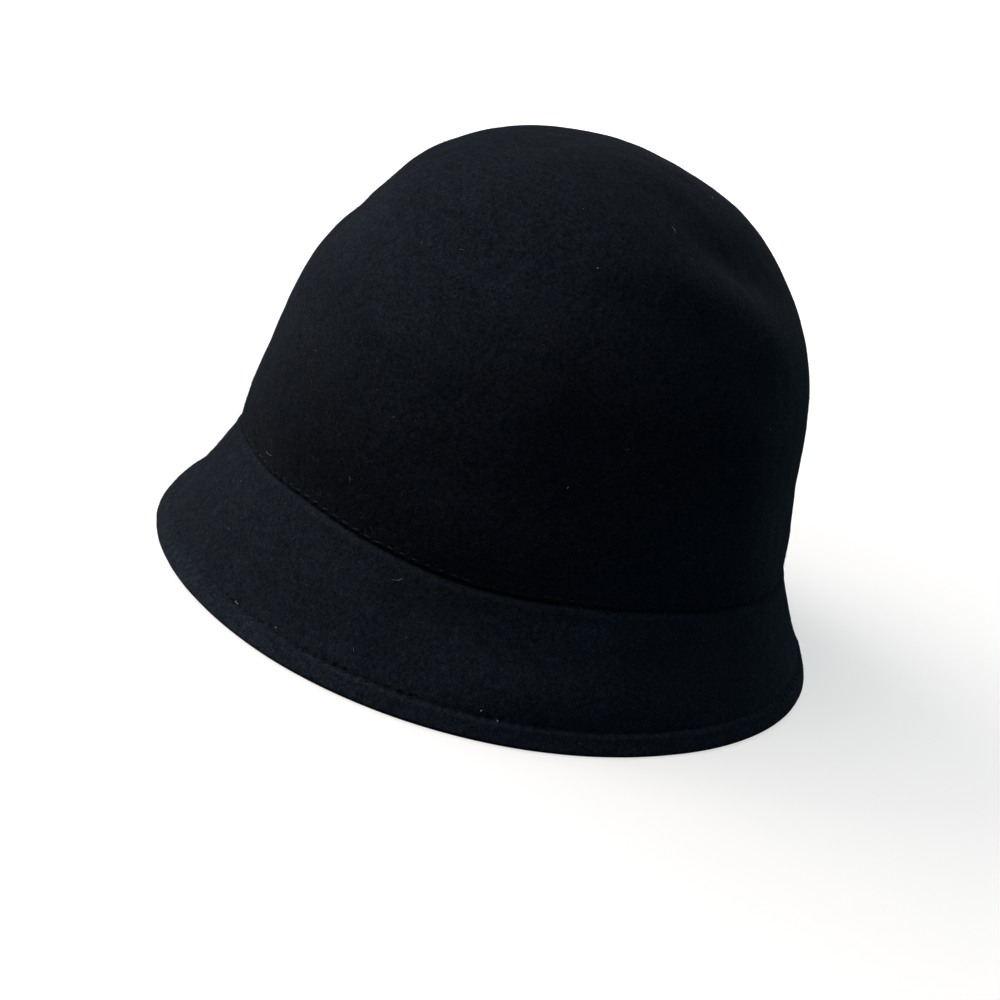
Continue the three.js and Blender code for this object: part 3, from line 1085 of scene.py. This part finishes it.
def add_lamp(name, place, size, power, colour):
    """A soft round lamp that looks at the hat's middle."""
    right, up, back = camera_axes()
    away = right * place[0] + up * place[1] + back * place[2]
    data = bpy.data.lights.new(name, "AREA")
    data.shape = "DISK"
    data.size = size
    data.energy = power
    data.color = colour
    lamp = bpy.data.objects.new(name, data)
    lamp.location = away + Vector((0, 0, CROWN_HEIGHT / 2))
    lamp.rotation_mode = "QUATERNION"
    lamp.rotation_quaternion = away.to_track_quat("Z", "Y")
    bpy.context.scene.collection.objects.link(lamp)


def add_light():
    """Large soft lamps, strongest over the upper left of the picture, and a dim blue sky, darker below."""
    world = bpy.data.worlds.new("studio")
    world.use_nodes = True
    tree = world.node_tree
    background = tree.nodes["Background"]
    background.inputs["Strength"].default_value = SKY_LIGHT
    where = tree.nodes.new("ShaderNodeTexCoord").outputs["Generated"]
    parts = tree.nodes.new("ShaderNodeSeparateXYZ")
    tree.links.new(where, parts.inputs["Vector"])
    ramp = tree.nodes.new("ShaderNodeValToRGB")
    low, high = ramp.color_ramp.elements
    low.color = (*SKY_LOW, 1)
    high.position = SKY_HIGH_FROM
    high.color = (*SKY_HIGH, 1)
    tree.links.new(parts.outputs["Z"], ramp.inputs["Fac"])
    tree.links.new(ramp.outputs["Color"], background.inputs["Color"])
    bpy.context.scene.world = world
    for name, (place, size, power, colour) in LAMPS.items():
        add_lamp(name, place, size, power, colour)


def add_floor():
    """A wide pale floor and, for low views, a far wall of the same paper. Neither lights the hat."""
    corners = [(-1, -1, 0), (1, -1, 0), (1, 1, 0), (-1, 1, 0)]
    under = np.array([0, 0, FLOOR_BELOW])
    floor = mesh_object("floor", np.array(corners) * FLOOR_REACH - under, [(0, 1, 2, 3)])
    angle = np.radians(turns(WALL_SIDES))
    foot = FLOOR_REACH * np.stack([np.sin(angle), np.cos(angle), 0 * angle], -1) - under
    wall = ring_mesh("far_wall", [foot, foot + np.array([0, 0, WALL_HEIGHT])], False)
    wall.visible_shadow = False
    paper = floor_material()
    for thing in (floor, wall):
        thing.data.materials.append(paper)
        thing.visible_diffuse = False
        thing.visible_glossy = False


def finish_piece(piece, material):
    piece.data.materials.append(material)
    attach(piece, "root")


add_camera()
add_light()
add_floor()

felt = felt_material()
thread = strand_material("sewing_thread")
nap = strand_material("loose_nap")
lint = strand_material("pale_lint")

crown = make_crown()
finish_piece(crown, felt)
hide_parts("crown")

brim = make_brim()
finish_piece(brim, felt)
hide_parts("brim")

for row in make_stitches():
    finish_piece(row, thread)

finish_piece(make_nap(), nap)
finish_piece(make_lint(), lint)

bpy.context.scene.view_settings.view_transform = "Standard"
